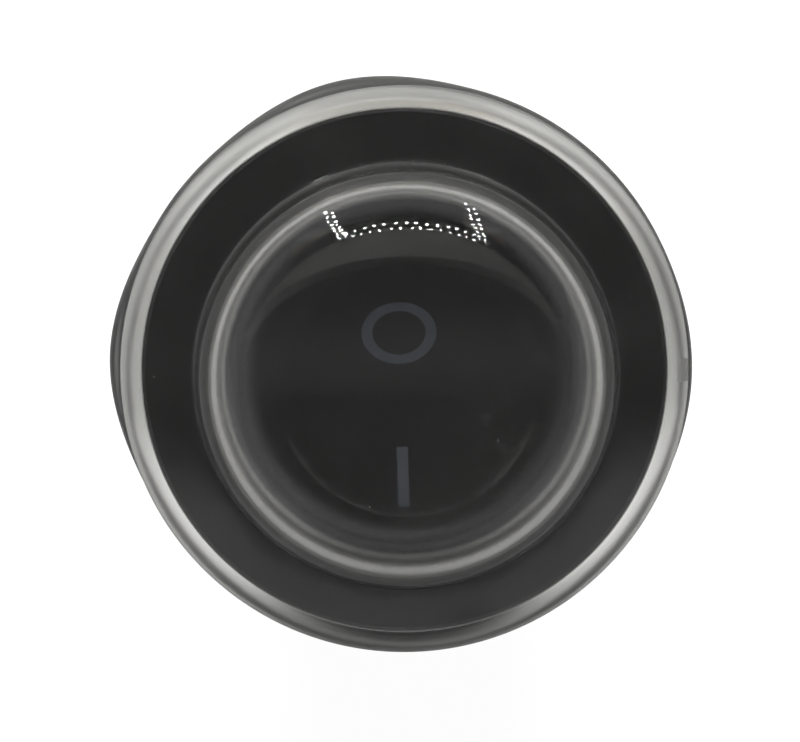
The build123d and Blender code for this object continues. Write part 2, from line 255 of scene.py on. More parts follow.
def make_handling_marks():
    tree, given, result = effect_group(
        "handling_marks",
        {
            "Vector": (0.0, 0.0, 0.0),
            "Smudge Scale": 220.0,
            "Dust Scale": 1500.0,
            "Dust Size": 0.06,
            "Scuff At": (0.0, 0.0, 0.0),
            "Scuff Reach": 0.0,
        },
        ("Smudge", "Dust", "Scuff"),
    )
    place = given["Vector"]
    smear = noise(tree, place, given["Smudge Scale"], detail=5.0, roughness=0.62)
    join(tree, spread(tree, smear, (0.46, 0.74), smooth=True), result["Smudge"])
    specks = add_node(tree, "ShaderNodeTexVoronoi", feature="F1")
    join(tree, place, specks.inputs["Vector"])
    join(tree, given["Dust Scale"], specks.inputs["Scale"])
    patches = noise(tree, place, scale=260.0, detail=2.0, roughness=0.5)
    keep = spread(tree, patches, (0.52, 0.68))
    near = spread(tree, specks.outputs["Distance"], (0.0, given["Dust Size"]), to=(1.0, 0.0))
    join(tree, calc(tree, "MULTIPLY", near, keep), result["Dust"])
    away = distance(tree, place, given["Scuff At"])
    rubbed = spread(tree, away, (given["Scuff Reach"], 0.0), smooth=True)
    scratch = noise(tree, place, scale=1100.0, detail=3.0, roughness=0.6)
    strokes = spread(tree, scratch, (0.5, 0.62))
    join(tree, calc(tree, "MULTIPLY", rubbed, strokes), result["Scuff"])
    return tree


def make_worn_edges():
    tree, given, result = effect_group(
        "worn_edges",
        {"Vector": (0.0, 0.0, 0.0), "Edge Radius": 0.1 * MM, "Break Up Scale": 900.0},
        ("Edge",),
    )
    rounded = add_node(tree, "ShaderNodeBevel", samples=6)
    join(tree, given["Edge Radius"], rounded.inputs["Radius"])
    facing = add_node(tree, "ShaderNodeNewGeometry")
    turn = add_node(tree, "ShaderNodeVectorMath", operation="DOT_PRODUCT")
    join(tree, rounded.outputs[0], turn.inputs[0])
    join(tree, facing.outputs["Normal"], turn.inputs[1])
    edge = spread(tree, turn.outputs["Value"], (0.99, 0.82))
    patchy = noise(tree, given["Vector"], given["Break Up Scale"], detail=4.0, roughness=0.6)
    worn = calc(tree, "MULTIPLY", edge, spread(tree, patchy, (0.35, 0.65), to=(0.25, 1.0)))
    join(tree, worn, result["Edge"])
    return tree


def make_rolled_strip():
    tree, given, result = effect_group(
        "rolled_strip",
        {"Vector": (0.0, 0.0, 0.0), "Streak Scale": 6000.0, "Tarnish Scale": 380.0},
        ("Streak", "Tarnish", "Height"),
    )
    stretched = add_node(tree, "ShaderNodeVectorMath", operation="MULTIPLY")
    stretched.inputs[1].default_value = (1.0, 1.0, 0.03)
    join(tree, given["Vector"], stretched.inputs[0])
    streak = noise(tree, stretched.outputs[0], given["Streak Scale"], detail=3.0, roughness=0.65)
    tarnish = noise(tree, given["Vector"], given["Tarnish Scale"], detail=5.0, roughness=0.6)
    join(tree, streak, result["Streak"])
    join(tree, spread(tree, tarnish, (0.4, 0.72), smooth=True), result["Tarnish"])
    join(tree, streak, result["Height"])
    return tree


MOULDED_GRAIN = make_moulded_grain()
HANDLING_MARKS = make_handling_marks()
WORN_EDGES = make_worn_edges()
ROLLED_STRIP = make_rolled_strip()


# Finishes
def new_material(name, shader, **fixed):
    made = bpy.data.materials.new(name)
    made.use_nodes = True
    tree = made.node_tree
    tree.nodes.clear()
    surface = add_node(tree, shader)
    set_inputs(surface, **fixed)
    end = add_node(tree, "ShaderNodeOutputMaterial")
    join(tree, surface.outputs[0], end.inputs["Surface"])
    return made, tree, surface


def object_place(tree):
    return add_node(tree, "ShaderNodeTexCoord").outputs["Object"]


def new_finish(name, **fixed):
    made, tree, surface = new_material(name, "ShaderNodeBsdfPrincipled", **fixed)
    return made, tree, surface, object_place(tree)


def put_effect(tree, effect, place, **values):
    made = add_node(tree, "ShaderNodeGroup", node_tree=effect)
    join(tree, place, made.inputs["Vector"])
    set_inputs(made, **values)
    return made.outputs


def roughen(tree, surface, height, strength, depth):
    made = add_node(tree, "ShaderNodeBump")
    set_inputs(made, Strength=strength, Distance=depth)
    join(tree, height, made.inputs["Height"])
    join(tree, made.outputs[0], surface.inputs["Normal"])


def make_black_plastic(name, dark, light, edge, rough, grain_depth):
    made, tree, surface, place = new_finish(name, IOR=1.5)
    grain = put_effect(tree, MOULDED_GRAIN, place, Grain_Scale=14000.0, Cloud_Scale=260.0)
    marks = put_effect(tree, HANDLING_MARKS, place, Smudge_Scale=240.0, Dust_Scale=1700.0)
    worn = put_effect(tree, WORN_EDGES, place, Edge_Radius=0.12 * MM)
    edge_share, dust_share, dust = 0.6, 0.5, (0.2, 0.2, 0.19)
    base = blend_colours(tree, grain["Shade"], dark, light)
    edged = blend_colours(tree, calc(tree, "MULTIPLY", worn["Edge"], edge_share), base, edge)
    dusted = blend_colours(tree, calc(tree, "MULTIPLY", marks["Dust"], dust_share), edged, dust)
    join(tree, dusted, surface.inputs["Base Color"])
    join(tree, spread(tree, marks["Smudge"], (0.0, 1.0), to=rough), surface.inputs["Roughness"])
    roughen(tree, surface, grain["Height"], strength=0.35, depth=grain_depth)
    return made


def make_clear_vinyl():
    made, tree, surface, place = new_finish(
        "clear_boot_vinyl", IOR=1.52, Transmission_Weight=1.0, Metallic=0.0
    )
    marks = put_effect(
        tree,
        HANDLING_MARKS,
        place,
        Smudge_Scale=260.0,
        Dust_Scale=1300.0,
        Scuff_At=SCUFF_AT,
        Scuff_Reach=SCUFF_REACH,
    )
    sway = put_effect(tree, MOULDED_GRAIN, place, Grain_Scale=420.0, Cloud_Scale=160.0)
    haze = add_node(tree, "ShaderNodeAttribute", attribute_name="haze").outputs["Fac"]
    lobe = add_node(tree, "ShaderNodeAttribute", attribute_name="lobe").outputs["Fac"]
    x, y, z = split(tree, place)
    from_gate = calc(tree, "ABSOLUTE", calc(tree, "SUBTRACT", y, GATE_Y))
    on_gate = spread(tree, from_gate, (GATE_HALF, GATE_FLAT_HALF), smooth=True)
    at_rim = spread(tree, x, (GATE_R, GATE_R + GATE_FADE), smooth=True)
    above = spread(tree, z, (GATE_LOW, GATE_LOW + GATE_FADE), smooth=True)
    gate = calc(tree, "MULTIPLY", on_gate, calc(tree, "MULTIPLY", at_rim, above))

    # Painted shade: the vinyl is tinted greyer on the lobes
    lobe_shade_grey, stub_grey = (0.7, 0.7, 0.705), (0.5, 0.5, 0.485)
    dust_share, dust = 0.4, (0.5, 0.5, 0.48)
    tint = blend_colours(tree, sway["Shade"], (0.94, 0.94, 0.915), (0.97, 0.97, 0.95))
    lobe_shaded = blend_colours(tree, lobe, tint, lobe_shade_grey)
    scarred = blend_colours(tree, gate, lobe_shaded, stub_grey)
    dusty = blend_colours(tree, calc(tree, "MULTIPLY", marks["Dust"], dust_share), scarred, dust)
    join(tree, dusty, surface.inputs["Base Color"])

    stub_rough, scuff_rough, dust_rough = 0.2, 0.3, 0.5
    handled = spread(tree, marks["Smudge"], (0.0, 1.0), to=(0.02, 0.07))
    clouded = calc(tree, "ADD", handled, haze)
    stubbed = calc(tree, "MULTIPLY_ADD", gate, stub_rough, clouded)
    scuffed = calc(tree, "MULTIPLY_ADD", marks["Scuff"], scuff_rough, stubbed)
    speckled = calc(tree, "MULTIPLY_ADD", marks["Dust"], dust_rough, scuffed)
    join(tree, speckled, surface.inputs["Roughness"])
    roughen(tree, surface, sway["Height"], strength=0.25, depth=0.02 * MM)
    return made


def make_mark_print():
    made, tree, surface, place = new_finish("grey_mark_print", IOR=1.45)
    grain = put_effect(tree, MOULDED_GRAIN, place, Grain_Scale=9000.0, Cloud_Scale=900.0)
    ink = blend_colours(tree, grain["Shade"], (0.165, 0.178, 0.212), (0.2, 0.213, 0.25))
    join(tree, ink, surface.inputs["Base Color"])
    matt = spread(tree, grain["Height"], (0.3, 0.7), to=(0.5, 0.62))
    join(tree, matt, surface.inputs["Roughness"])
    roughen(tree, surface, grain["Height"], strength=0.3, depth=0.004 * MM)
    return made


def make_nylon():
    made, tree, surface, place = new_finish(
        "natural_nylon", IOR=1.53, Subsurface_Weight=0.25, Subsurface_Scale=0.6 * MM
    )
    grain = put_effect(tree, MOULDED_GRAIN, place, Grain_Scale=8000.0, Cloud_Scale=500.0)
    marks = put_effect(tree, HANDLING_MARKS, place, Smudge_Scale=500.0)
    base = blend_colours(tree, grain["Shade"], (0.74, 0.7, 0.6), (0.84, 0.82, 0.74))
    join(tree, base, surface.inputs["Base Color"])
    handled = spread(tree, marks["Smudge"], (0.0, 1.0), to=(0.36, 0.5))
    join(tree, handled, surface.inputs["Roughness"])
    roughen(tree, surface, grain["Height"], strength=0.3, depth=0.006 * MM)
    return made


def make_strip_metal(name, bright, dull, edge, rough):
    made, tree, surface, place = new_finish(name, Metallic=1.0)
    rolled = put_effect(tree, ROLLED_STRIP, place, Streak_Scale=7000.0, Tarnish_Scale=420.0)
    worn = put_effect(tree, WORN_EDGES, place, Edge_Radius=0.09 * MM)
    marks = put_effect(tree, HANDLING_MARKS, place, Smudge_Scale=420.0)
    smudge_rough = 0.12
    base = blend_colours(tree, rolled["Tarnish"], bright, dull)
    join(tree, blend_colours(tree, worn["Edge"], base, edge), surface.inputs["Base Color"])
    streaked = spread(tree, rolled["Streak"], (0.3, 0.7), to=rough)
    smeared = calc(tree, "MULTIPLY_ADD", marks["Smudge"], smudge_rough, streaked)
    join(tree, smeared, surface.inputs["Roughness"])
    roughen(tree, surface, rolled["Height"], strength=0.25, depth=0.004 * MM)
    return made


BOOT_VINYL = make_clear_vinyl()
BEZEL_PLASTIC = make_black_plastic(
    "black_bezel_plastic",
    dark=(0.06, 0.06, 0.061),
    light=(0.073, 0.073, 0.074),
    edge=(0.08, 0.08, 0.08),
    rough=(0.38, 0.52),
    grain_depth=0.006 * MM,
)
ROCKER_PLASTIC = make_black_plastic(
    "black_rocker_plastic",
    dark=(0.058, 0.058, 0.059),
    light=(0.068, 0.068, 0.069),
    edge=(0.07, 0.07, 0.07),
    rough=(0.3, 0.45),
    grain_depth=0.003 * MM,
)
MARK_PRINT = make_mark_print()
NYLON = make_nylon()
SPRING_WIRE = make_strip_metal(
    "spring_wire",
    bright=(0.56, 0.56, 0.57),
    dull=(0.4, 0.39, 0.38),
    edge=(0.7, 0.7, 0.7),
    rough=(0.2, 0.34),
)
BLADE_BRONZE = make_strip_metal(
    "blade_bronze",
    bright=(0.78, 0.5, 0.28),
    dull=(0.55, 0.33, 0.18),
    edge=(0.86, 0.62, 0.4),
    rough=(0.2, 0.36),
)
TAB_BRASS = make_strip_metal(
    "tab_brass",
    bright=(0.78, 0.66, 0.38),
    dull=(0.56, 0.46, 0.25),
    edge=(0.88, 0.8, 0.56),
    rough=(0.22, 0.4),
)
CONTACT_SILVER = make_strip_metal(
    "contact_silver",
    bright=(0.86, 0.85, 0.82),
    dull=(0.6, 0.58, 0.54),
    edge=(0.92, 0.91, 0.9),
    rough=(0.22, 0.36),
)


def finish_node(name, finish):
    piece = nodes[name]
    piece.data.materials.clear()
    piece.data.materials.append(finish)


finish_node("housing", BEZEL_PLASTIC)
finish_node("rocker", ROCKER_PLASTIC)
for side in SIDES:
    finish_node(f"plunger_{side}", NYLON)
    finish_node(f"contact_blade_{side}", BLADE_BRONZE)
    finish_node(f"blade_contact_{side}", CONTACT_SILVER)
    finish_node(f"load_contact_{side}", CONTACT_SILVER)
    finish_node(f"common_terminal_{side}", TAB_BRASS)
    finish_node(f"load_terminal_{side}", TAB_BRASS)


# Shape helpers
def geometry_tree(name, inputs, output):
    tree = bpy.data.node_groups.new(name, "GeometryNodeTree")
    tree.is_modifier = True
    for label, kind in inputs:
        tree.interface.new_socket(label, in_out="INPUT", socket_type=f"NodeSocket{kind}")
    tree.interface.new_socket(output, in_out="OUTPUT", socket_type="NodeSocketGeometry")
    return tree, add_node(tree, "NodeGroupInput").outputs


def end_tree(tree, shape, material):
    smooth = add_node(tree, "GeometryNodeSetShadeSmooth")
    join(tree, shape, smooth.inputs["Geometry"])
    real = add_node(tree, "GeometryNodeRealizeInstances")
    join(tree, smooth.outputs[0], real.inputs[0])
    dressed = add_node(tree, "GeometryNodeSetMaterial")
    join(tree, real.outputs[0], dressed.inputs["Geometry"])
    join(tree, material, dressed.inputs["Material"])
    result = add_node(tree, "NodeGroupOutput")
    join(tree, dressed.outputs[0], result.inputs[0])


def new_piece(name, data):
    piece = bpy.data.objects.new(name, data)
    scene.collection.objects.link(piece)
    return piece


def run_tree(piece, tree, **values):
    step = piece.modifiers.new("shape", "NODES")
    step.node_group = tree
    for label, value in values.items():
        socket = tree.interface.items_tree[label.replace("_", " ")]
        step[socket.identifier] = value
    bpy.context.view_layer.update()
    solved = piece.evaluated_get(bpy.context.evaluated_depsgraph_get())
    plain = bpy.data.meshes.new_from_object(solved)
    piece.modifiers.remove(step)
    piece.data = plain
    plain.name = piece.name


def face_outwards(mesh):
    work = bmesh.new()
    work.from_mesh(mesh)
    bmesh.ops.recalc_face_normals(work, faces=work.faces)
    if work.calc_volume(signed=True) < 0:
        bmesh.ops.reverse_faces(work, faces=work.faces)
    work.to_mesh(mesh)
    work.free()


def to_mesh(work, name):
    made = bpy.data.meshes.new(name)
    work.to_mesh(made)
    work.free()
    return made


# Clear boot: one section, turned about Z, with two pairs of lobes swelling the bead round its lip.
# A corner of the section is its radius, height, rounding, share of the lobes' rise and haze.
def rounded_section(corners):
    made = []
    for place, (r, z, bend, *tags) in enumerate(corners):
        here = Vector((r, z))
        if bend == 0.0:
            made.append((r, z, *tags))
            continue
        to_last = (Vector(corners[place - 1][:2]) - here).normalized()
        to_next = (Vector(corners[place + 1][:2]) - here).normalized()
        half = acos(max(-1.0, min(1.0, to_last.dot(to_next)))) / 2
        run = bend / tan(half)
        centre = here + (to_last + to_next).normalized() * (bend / sin(half))
        start = here + to_last * run
        end = here + to_next * run
        made.append((*(start + to_last * ROUND_SUPPORT), *tags))
        spoke, last = start - centre, end - centre
        sweep = spoke.angle_signed(last)
        for step in range(ROUND_STEPS + 1):
            turned = centre + Matrix.Rotation(-sweep * step / ROUND_STEPS, 2) @ spoke
            made.append((*turned, *tags))
        made.append((*(end + to_next * ROUND_SUPPORT), *tags))
    return made


def crown(r, top):
    return top - BOOT_CROWN * (r / DOME_FOOT_R) ** 2


def boot_section():
    shoulder_r = DOME_FOOT_R - (BOOT_TOP - FLANGE_TOP) * DOME_DRAFT
    top_in = BOOT_TOP - BOOT_WALL
    foot_in_r = DOME_FOOT_R - BOOT_WALL
    shoulder_in_r = foot_in_r - (top_in - FLANGE_BACK) * DOME_DRAFT
    shoulder_in = DOME_SHOULDER - BOOT_WALL
    top_outside = [(r, crown(r, BOOT_TOP), 0.0, 0.0, 0.0) for r in DOME_TOP_RADII]
    top_inside = [(r, crown(r, top_in), 0.0, 0.0, TOP_HAZE) for r in reversed(DOME_TOP_RADII)]
    outside = [
        (shoulder_r, crown(shoulder_r, BOOT_TOP), DOME_SHOULDER, 0.0, 0.0),
        (DOME_FOOT_R, FLANGE_TOP, FOOT_ROUND, 0.0, FOOT_HAZE),
        (DOME_FOOT_R + FOOT_FLAT, FLANGE_TOP, 0.0, 0.0, TOP_HAZE),
        (SKIRT_R - RIM_ROUND - RIM_FLAT, FLANGE_TOP, 0.0, 0.0, TOP_HAZE),
        (SKIRT_R, FLANGE_TOP, RIM_ROUND, 0.0, RIM_HAZE),
    ]
    bead = []
    for step in range(BEAD_STEPS + 1):
        share = step / BEAD_STEPS
        swell = sqrt(max(0.0, 1.0 - (2.0 * share - 1.0) ** 2))
        bead.append((SKIRT_R + BEAD_RISE * swell, BEAD_H * (1.0 - share), 0.0, swell, RIM_HAZE))
    inside = [
        (LIP_HOLE_R, 0.0, LIP_ROUND, 0.0, RIM_HAZE),
        (LIP_HOLE_R, LIP_T, LIP_ROUND, 0.0, RIM_HAZE),
        (SKIRT_IN_R, LIP_T, SKIRT_FOOT_ROUND, 0.0, RIM_HAZE),
        (SKIRT_IN_R, FLANGE_BACK, SKIRT_TOP_ROUND, 0.0, TOP_HAZE),
        (foot_in_r + FOOT_FLAT, FLANGE_BACK, 0.0, 0.0, TOP_HAZE),
        (foot_in_r, FLANGE_BACK, FOOT_IN_ROUND, 0.0, WALL_HAZE),
        (shoulder_in_r, crown(shoulder_in_r, top_in), shoulder_in, 0.0, WALL_HAZE),
    ]
    return rounded_section(top_outside + outside + bead + inside + top_inside)


def make_boot_lathe():
    tree, given = geometry_tree(
        "boot_lathe",
        (
            ("Section", "Geometry"),
            ("Turn Steps", "Int"),
            ("First Lobe Angle", "Float"),
            ("First Lobe Rise", "Float"),
            ("Second Lobe Angle", "Float"),
            ("Second Lobe Rise", "Float"),
            ("Lobe Half Angle", "Float"),
            ("Far Lobe Share", "Float"),
            ("Dome Shift", "Vector"),
            ("Vinyl", "Material"),
        ),
        "Boot",
    )
    count = add_node(tree, "GeometryNodeAttributeDomainSize", component="MESH")
    join(tree, given["Section"], count.inputs[0])
    points = count.outputs["Point Count"]
    sheet = add_node(tree, "GeometryNodeMeshGrid")
    join(tree, calc(tree, "ADD", given["Turn Steps"], 1), sheet.inputs["Vertices X"])
    join(tree, points, sheet.inputs["Vertices Y"])
    index = add_node(tree, "GeometryNodeInputIndex").outputs[0]
    turn_step = calc(tree, "FLOOR", calc(tree, "DIVIDE", calc(tree, "ADD", index, 0.5), points))
    along = calc(tree, "SUBTRACT", index, calc(tree, "MULTIPLY", turn_step, points))
    angle = calc(tree, "DIVIDE", calc(tree, "MULTIPLY", turn_step, 2 * pi), given["Turn Steps"])

    def from_section(field, kind):
        made = add_node(tree, "GeometryNodeSampleIndex", data_type=kind, domain="POINT")
        join(tree, given["Section"], made.inputs["Geometry"])
        join(tree, field, made.inputs["Value"])
        join(tree, along, made.inputs["Index"])
        return made.outputs[0]

    def section_tag(name):
        made = add_node(tree, "GeometryNodeInputNamedAttribute", data_type="FLOAT")
        made.inputs["Name"].default_value = name
        return from_section(made.outputs[0], "FLOAT")

    def lobe_pair(name):
        off = calc(tree, "SUBTRACT", angle, given[f"{name} Lobe Angle"])
        away = calc(tree, "ABSOLUTE", calc(tree, "WRAP", off, pi / 2, -pi / 2))
        rise = (0.0, given[f"{name} Lobe Rise"])
        swell = spread(tree, away, (given["Lobe Half Angle"], 0.0), to=rise, smooth=True)
        shares = (given["Far Lobe Share"], 1.0)
        share = spread(tree, calc(tree, "COSINE", off), (-0.5, 0.5), to=shares)
        return calc(tree, "MULTIPLY", swell, share)

    spot = from_section(add_node(tree, "GeometryNodeInputPosition").outputs[0], "FLOAT_VECTOR")
    swell = calc(tree, "MAXIMUM", lobe_pair("First"), lobe_pair("Second"))
    lift = calc(tree, "MULTIPLY", swell, section_tag("lobe_reach"))
    # Share of the lobes' rise, kept as the mask of the lobes' painted shade
    lobe_shade_share = calc(tree, "DIVIDE", lift, given["Second Lobe Rise"])
    section_r, _, section_z = split(tree, spot)
    radius = calc(tree, "ADD", section_r, lift)
    turned = add_node(tree, "ShaderNodeCombineXYZ")
    join(tree, calc(tree, "MULTIPLY", radius, calc(tree, "COSINE", angle)), turned.inputs["X"])
    join(tree, calc(tree, "MULTIPLY", radius, calc(tree, "SINE", angle)), turned.inputs["Y"])
    join(tree, section_z, turned.inputs["Z"])
    inside_rim = spread(tree, radius, (SHIFT_FULL_R, SHIFT_NONE_R), to=(1.0, 0.0), smooth=True)
    above_lip = calc(tree, "GREATER_THAN", section_z, SHIFT_LOW)
    slid = add_node(tree, "ShaderNodeVectorMath", operation="SCALE")
    join(tree, given["Dome Shift"], slid.inputs[0])
    join(tree, calc(tree, "MULTIPLY", inside_rim, above_lip), slid.inputs["Scale"])
    moved = add_node(tree, "GeometryNodeSetPosition")
    join(tree, sheet.outputs["Mesh"], moved.inputs["Geometry"])
    join(tree, turned.outputs[0], moved.inputs["Position"])
    join(tree, slid.outputs[0], moved.inputs["Offset"])
    last = moved.outputs[0]
    for name, value in (("haze", section_tag("haze")), ("lobe", lobe_shade_share)):
        tagged = add_node(
            tree, "GeometryNodeStoreNamedAttribute", data_type="FLOAT", domain="POINT"
        )
        join(tree, last, tagged.inputs["Geometry"])
        tagged.inputs["Name"].default_value = name
        join(tree, value, tagged.inputs["Value"])
        last = tagged.outputs[0]
    closed = add_node(tree, "GeometryNodeMergeByDistance")
    join(tree, last, closed.inputs["Geometry"])
    closed.inputs["Distance"].default_value = SEAM_REACH
    end_tree(tree, closed.outputs[0], given["Vinyl"])
    return tree


def make_boot():
    section = boot_section()
    mesh = bpy.data.meshes.new("boot_section")
    points = [(r, 0.0, z) for r, z, *tags in section]
    mesh.from_pydata(points, [(i, i + 1) for i in range(len(points) - 1)], [])
    for column, name in ((2, "lobe_reach"), (3, "haze")):
        tag = mesh.attributes.new(name, "FLOAT", "POINT")
        for place, point in enumerate(section):
            tag.data[place].value = point[column]
    boot = new_piece("clear_boot", mesh)
    run_tree(
        boot,
        make_boot_lathe(),
        Turn_Steps=TURN_STEPS,
        First_Lobe_Angle=LOBE_FIRST,
        First_Lobe_Rise=LOBE_FIRST_RISE,
        Second_Lobe_Angle=LOBE_SECOND,
        Second_Lobe_Rise=LOBE_SECOND_RISE,
        Lobe_Half_Angle=LOBE_HALF,
        Far_Lobe_Share=LOBE_FAR_SHARE,
        Dome_Shift=DOME_SHIFT,
        Vinyl=BOOT_VINYL,
    )
    face_outwards(boot.data)
    return boot


clear_boot = make_boot()
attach(clear_boot, "switch_body")
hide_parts("waterproof_boot")


# Plunger springs: round wire wound in open turns, with a closed turn at each end
def make_coil_winder():
    tree, given = geometry_tree(
        "coil_winder",
        (
            ("Blank", "Geometry"),
            ("Turns", "Float"),
            ("Coil Radius", "Float"),
            ("Wire Radius", "Float"),
            ("Length", "Float"),
            ("Foot", "Vector"),
            ("Lean", "Vector"),
            ("Wire", "Material"),
        ),
        "Spring",
    )
    wire = calc(tree, "MULTIPLY", given["Wire Radius"], 2.0)
    rise = calc(tree, "SUBTRACT", given["Length"], wire)
    winding = add_node(tree, "GeometryNodeCurveSpiral")
    set_inputs(winding, Resolution=COIL_STEPS, Height=0.0)
    join(tree, given["Turns"], winding.inputs["Rotations"])
    join(tree, given["Coil Radius"], winding.inputs["Start Radius"])
    join(tree, given["Coil Radius"], winding.inputs["End Radius"])
    factor = add_node(tree, "GeometryNodeSplineParameter").outputs["Factor"]
    along = calc(tree, "MULTIPLY", factor, given["Turns"])
    last_turn = calc(tree, "SUBTRACT", given["Turns"], 1.0)
    open_rise = calc(tree, "SUBTRACT", rise, calc(tree, "MULTIPLY", wire, 2.0))
    first_closed = spread(tree, along, (0.0, 1.0), to=(0.0, wire))
    open_turns = spread(tree, along, (1.0, last_turn), to=(0.0, open_rise))
    last_closed = spread(tree, along, (last_turn, given["Turns"]), to=(0.0, wire))
    height = calc(tree, "ADD", calc(tree, "ADD", first_closed, open_turns), last_closed)
    lift = add_node(tree, "ShaderNodeCombineXYZ")
    join(tree, calc(tree, "ADD", height, given["Wire Radius"]), lift.inputs["Z"])
    raised = add_node(tree, "GeometryNodeSetPosition")
    join(tree, winding.outputs[0], raised.inputs["Geometry"])
    join(tree, lift.outputs[0], raised.inputs["Offset"])
    section = add_node(tree, "GeometryNodeCurvePrimitiveCircle")
    set_inputs(section, Resolution=WIRE_STEPS)
    join(tree, given["Wire Radius"], section.inputs["Radius"])
    wound = add_node(tree, "GeometryNodeCurveToMesh")
    set_inputs(wound, Fill_Caps=True)
    join(tree, raised.outputs[0], wound.inputs["Curve"])
    join(tree, section.outputs[0], wound.inputs["Profile Curve"])
    seated = add_node(tree, "GeometryNodeTransform")
    join(tree, wound.outputs[0], seated.inputs["Geometry"])
    join(tree, given["Foot"], seated.inputs["Translation"])
    join(tree, given["Lean"], seated.inputs["Rotation"])
    end_tree(tree, seated.outputs[0], given["Wire"])
    return tree


def make_spring(side, winder):
    stand_in = f"plunger_spring_{side}"
    low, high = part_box(stand_in)
    up = Vector((0.0, -sin(ROCKER_TILT), cos(ROCKER_TILT)))
    middle = Vector(((low[0] + high[0]) / 2, 0.0, PIVOT_Z))
    length = COIL_HEAD - COIL_FOOT
    spring = new_piece(f"coil_spring_{side}", bpy.data.meshes.new("blank"))
    run_tree(
        spring,
        winder,
        Turns=COIL_TURNS,
        Coil_Radius=COIL_R,
        Wire_Radius=COIL_WIRE_R,
        Length=length,
        Foot=tuple(middle + up * COIL_FOOT),
        Lean=(ROCKER_TILT, 0.0, 0.0),
        Wire=SPRING_WIRE,
    )
    face_outwards(spring.data)
    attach(spring, "rocker")
    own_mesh(spring)
    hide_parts(stand_in)


coil_winder = make_coil_winder()
for side in SIDES:
    make_spring(side, coil_winder)


# Printed O and I marks, laid on the rocker's hollow face
def on_rocker_face(x, y, lift):
    z = FACE_VALLEY + FACE_R - sqrt(FACE_R**2 - y**2)
    inward = Vector((0.0, -y, FACE_R - (z - FACE_VALLEY))).normalized()
    here = Vector((x, y, z)) + inward * lift
    turn = Matrix.Rotation(ROCKER_TILT, 3, "X")
    return turn @ here + Vector((0.0, 0.0, PIVOT_Z))


def make_mark(name, rows, closed):
    work = bmesh.new()

    def layer(lift):
        return [[work.verts.new(on_rocker_face(x, y, lift)) for x, y in row] for row in rows]

    tops, feet = layer(MARK_T - MARK_SINK), layer(-MARK_SINK)
    count = len(rows)
    for a in range(count if closed else count - 1):
        b = (a + 1) % count
        for c in range(len(rows[0]) - 1):
            work.faces.new((tops[a][c], tops[b][c], tops[b][c + 1], tops[a][c + 1]))
            work.faces.new((feet[a][c], feet[a][c + 1], feet[b][c + 1], feet[b][c]))
        work.faces.new((tops[a][0], feet[a][0], feet[b][0], tops[b][0]))
        work.faces.new((tops[a][-1], tops[b][-1], feet[b][-1], feet[a][-1]))
    if not closed:
        for row_top, row_foot in ((tops[0], feet[0]), (tops[-1], feet[-1])):
            for c in range(len(row_top) - 1):
                work.faces.new((row_top[c], row_top[c + 1], row_foot[c + 1], row_foot[c]))
    bmesh.ops.recalc_face_normals(work, faces=work.faces)
    mesh = to_mesh(work, name)
    mesh.materials.append(MARK_PRINT)
    piece = new_piece(name, mesh)
    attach(piece, "rocker")


def ring_rows():
    radii = [O_MARK_R + O_MARK_STROKE * (share - 0.5) for share in (0.0, 0.5, 1.0)]
    rows = []
    for step in range(O_MARK_STEPS):
        turn = 2 * pi * step / O_MARK_STEPS
        across, along = cos(turn), O_MARK_SQUAT * sin(turn)
        rows.append([(MARK_X + r * across, O_MARK_Y + r * along) for r in radii])
    return rows


def bar_rows():
    rows = []
    for step in range(I_MARK_STEPS + 1):
        y = I_MARK_Y + I_MARK_L * (step / I_MARK_STEPS - 0.5)
        rows.append([(MARK_X + I_MARK_W * share, y) for share in (-0.5, 0.0, 0.5)])
    return rows


make_mark("o_mark", ring_rows(), True)
make_mark("i_mark", bar_rows(), False)

# Stage: a pale floor under the tabs, with a painted shadow that darkens the I end of the boot's
# rim and four soft painted pools of light, seen only through the vinyl, that light the rim between
# the axes
FLOOR_Z = cad_low.z - 0.02 * MM
FLOOR_HALF = 4.0
FLOOR_GREY = (0.64, 0.64, 0.62)
FLOOR_SEEN_GREY = (0.5, 0.5, 0.5)
FLOOR_SEEN_GLOW = 0.86
PAINTED_SHADOW_AT = (0.0, -14.0 * MM, FLOOR_Z)
PAINTED_SHADOW_FADE = (4.0 * MM, 9.0 * MM)
PAINTED_SHADOW_GREY = (0.06, 0.06, 0.06)
POOL_OFF_AXES = (0.28, 0.5)
POOL_FADE = (16.0 * MM, 20.0 * MM)
POOL_GLOW = 0.58

# A half ring of card in front of the part that lightens the I half of the bezel
CARD_AT = (0.0017, -0.0139, 0.154)
CARD_RADII = (0.015, 0.0208)
CARD_STEPS = 32
CARD_END_FADE = (-0.0165, -0.0245)
CARD_INNER_FADE = (0.0151, 0.0167)
CARD_GLOW = 0.8

# Two rows and two upright bars of small lamps beyond the O end, mirrored in the dome. A bar is
# the X of its foot, the X of its head and the step between its two columns.
LAMPS_Y = 0.12
LAMPS_GLOW = 90.0
LAMP_JITTER_X = 0.0008
LAMP_JITTER_Z = 0.003
LAMP_SIZES = (0.6, 1.3)
ROW_LAMPS = 14
ROW_START = -0.049
ROW_PITCH = 0.0090
ROW_LOW = 0.138
ROWS_APART = 0.036
ROW_LAMP = (0.0012, 0.0050)
BAR_LAMPS = 9
BARS = ((-0.057, -0.056, 0.0056), (0.048, 0.080, 0.0066))
BAR_LOW = 0.018
BAR_RISE = 0.152
BAR_LAMP = (0.0011, 0.0030)

